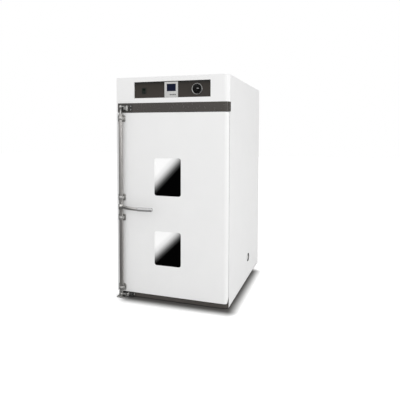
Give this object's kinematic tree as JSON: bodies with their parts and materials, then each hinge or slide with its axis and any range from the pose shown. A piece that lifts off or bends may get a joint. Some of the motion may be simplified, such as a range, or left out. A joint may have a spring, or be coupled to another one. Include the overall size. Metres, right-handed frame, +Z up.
{
  "type": "forced-air drying oven",
  "caption": "Floor-standing forced-air drying oven with a windowed insulated door, swing-handle lock bar, control head, side cable port, ducted blower and wire shelves.",
  "frame": {"origin": "on the floor, under the middle of the cabinet's 1.0 m by 1.2 m footprint", "axes": "+Z up, -Y is the front with the door and the controls, +X is the hinge side with the cable port"},
  "size_m": [1.001, 1.3961, 1.88],
  "materials": {
    "white_enamel": "semi-gloss white enamel on sheet steel",
    "dark_enamel": "semi-gloss dark grey-brown enamel",
    "panel_enamel": "satin dark grey enamel, plain",
    "stainless": "brushed stainless sheet",
    "galvanised": "dull galvanised sheet",
    "bar_chrome": "polished plated tube",
    "cast_zinc": "plated die casting, slightly rough",
    "bright_steel": "plain machined steel",
    "dark_steel": "blackened steel",
    "mineral_wool": "matt fibre board",
    "silicone": "matt grey silicone",
    "white_silicone": "matt white silicone",
    "black_rubber": "matt black rubber",
    "tempered_glass": "tempered glass with a dark coating that fades to white at its upper left",
    "rim_plastic": "matt black",
    "black_plastic": "glossy black plastic",
    "housing_silver": "silver painted plastic",
    "screen": "dark display window, off",
    "key_plastic": "plain grey keys",
    "grip_silver": "smooth silver-grey sleeve",
    "dial_silver": "satin silver ring with plain division lines",
    "motor_enamel": "satin blue-grey enamel",
    "heater_sheath": "heat-tinted steel tube"
  },
  "bodies": {
    "cabinet": {"right_side_panel": "white_enamel", "left_side_panel": "white_enamel", "top_panel": "white_enamel", "back_panel": "white_enamel", "base_pan": "galvanised", "leveling_feet": "black_rubber", "plinth": "dark_enamel", "upper_band": "dark_enamel", "control_head_fascia": "white_enamel", "front_frame": "stainless", "chamber_liner": "stainless", "cabinet_insulation": "mineral_wool", "upper_hinge_bracket": "dark_steel", "lower_hinge_bracket": "dark_steel", "air_ducts": "stainless", "fan_deck": "stainless", "motor_mount": "galvanised", "blower_motor": "motor_enamel", "heater_elements": "heater_sheath", "temperature_probe": "bright_steel", "shelf_racks": "bright_steel", "port_tube": "black_plastic", "exhaust_pipe": "bright_steel", "supply_gland": "black_plastic", "control_panel_plate": "panel_enamel", "controller_housing": "housing_silver", "controller_screen": "screen", "rocker_frame": "rim_plastic", "dial_ring": "dial_silver", "top_keeper": "cast_zinc", "bottom_keeper": "cast_zinc", "keeper_bolts": "bright_steel"},
    "impeller_wheel": {"impeller": "galvanised", "fan_shaft": "bright_steel"},
    "door": {"door_outer_skin": "white_enamel", "door_inner_panel": "stainless", "door_insulation": "mineral_wool", "door_gasket": "silicone", "door_pivot_blocks": "dark_steel", "upper_window_frame": "rim_plastic", "upper_window_glass": "tempered_glass", "lower_window_frame": "rim_plastic", "lower_window_glass": "tempered_glass", "bar_guides": "cast_zinc", "guide_bolts": "bright_steel"},
    "lock_bar": {"lock_bar": "bar_chrome", "top_cam": "cast_zinc", "bottom_cam": "cast_zinc", "handle_lever": "bar_chrome", "handle_grip": "grip_silver"},
    "key_set": {"key_set": "key_plastic"},
    "key_shift": {"key_shift": "key_plastic"},
    "key_down": {"key_down": "key_plastic"},
    "key_up": {"key_up": "key_plastic"},
    "power_rocker": {"power_rocker": "black_plastic"},
    "dial_knob": {"dial_knob": "black_plastic"},
    "port_plug": {"port_plug": "white_silicone"},
    "damper_flap": {"damper_flap": "bright_steel"},
    "lower_shelf": {"lower_shelf": "bright_steel"},
    "upper_shelf": {"upper_shelf": "bright_steel"}
  },
  "joints": [
    {"name": "door_hinge", "type": "hinge", "parent": "cabinet", "child": "door", "pos_m": [0.478, -0.585, 0.8125], "axis": [0, 0, 1], "range_deg": [0, 115]},
    {"name": "lock_turn", "type": "hinge", "parent": "door", "child": "lock_bar", "pos_m": [-0.446, -0.626, 0.783], "axis": [0, 0, 1], "range_deg": [-100, 0]},
    {"name": "blower_spin", "type": "hinge", "parent": "cabinet", "child": "impeller_wheel", "pos_m": [0, -0.02, 1.454], "axis": [0, 0, 1], "continuous": true},
    {"name": "rocker_tilt", "type": "hinge", "parent": "cabinet", "child": "power_rocker", "pos_m": [-0.244, -0.584, 1.765], "axis": [1, 0, 0], "range_deg": [-18, 0]},
    {"name": "dial_turn", "type": "hinge", "parent": "cabinet", "child": "dial_knob", "pos_m": [0.23, -0.6, 1.771], "axis": [0, 1, 0], "range_deg": [-240, 60]},
    {"name": "key_set_press", "type": "slide", "parent": "cabinet", "child": "key_set", "axis": [0, 1, 0], "range_m": [0, 0.0012], "stiffness_N_per_m": 400},
    {"name": "key_shift_press", "type": "slide", "parent": "cabinet", "child": "key_shift", "axis": [0, 1, 0], "range_m": [0, 0.0012], "stiffness_N_per_m": 400},
    {"name": "key_down_press", "type": "slide", "parent": "cabinet", "child": "key_down", "axis": [0, 1, 0], "range_m": [0, 0.0012], "stiffness_N_per_m": 400},
    {"name": "key_up_press", "type": "slide", "parent": "cabinet", "child": "key_up", "axis": [0, 1, 0], "range_m": [0, 0.0012], "stiffness_N_per_m": 400},
    {"name": "port_plug_pull", "type": "slide", "parent": "cabinet", "child": "port_plug", "axis": [1, 0, 0], "range_m": [0, 0.065]},
    {"name": "damper_turn", "type": "hinge", "parent": "cabinet", "child": "damper_flap", "pos_m": [-0.25, 0.626, 1.466], "axis": [0, 0, 1], "range_deg": [0, 90]},
    {"name": "lower_shelf_slide", "type": "slide", "parent": "cabinet", "child": "lower_shelf", "axis": [0, -1, 0], "range_m": [0, 0.045]},
    {"name": "upper_shelf_slide", "type": "slide", "parent": "cabinet", "child": "upper_shelf", "axis": [0, -1, 0], "range_m": [0, 0.045]}
  ]
}
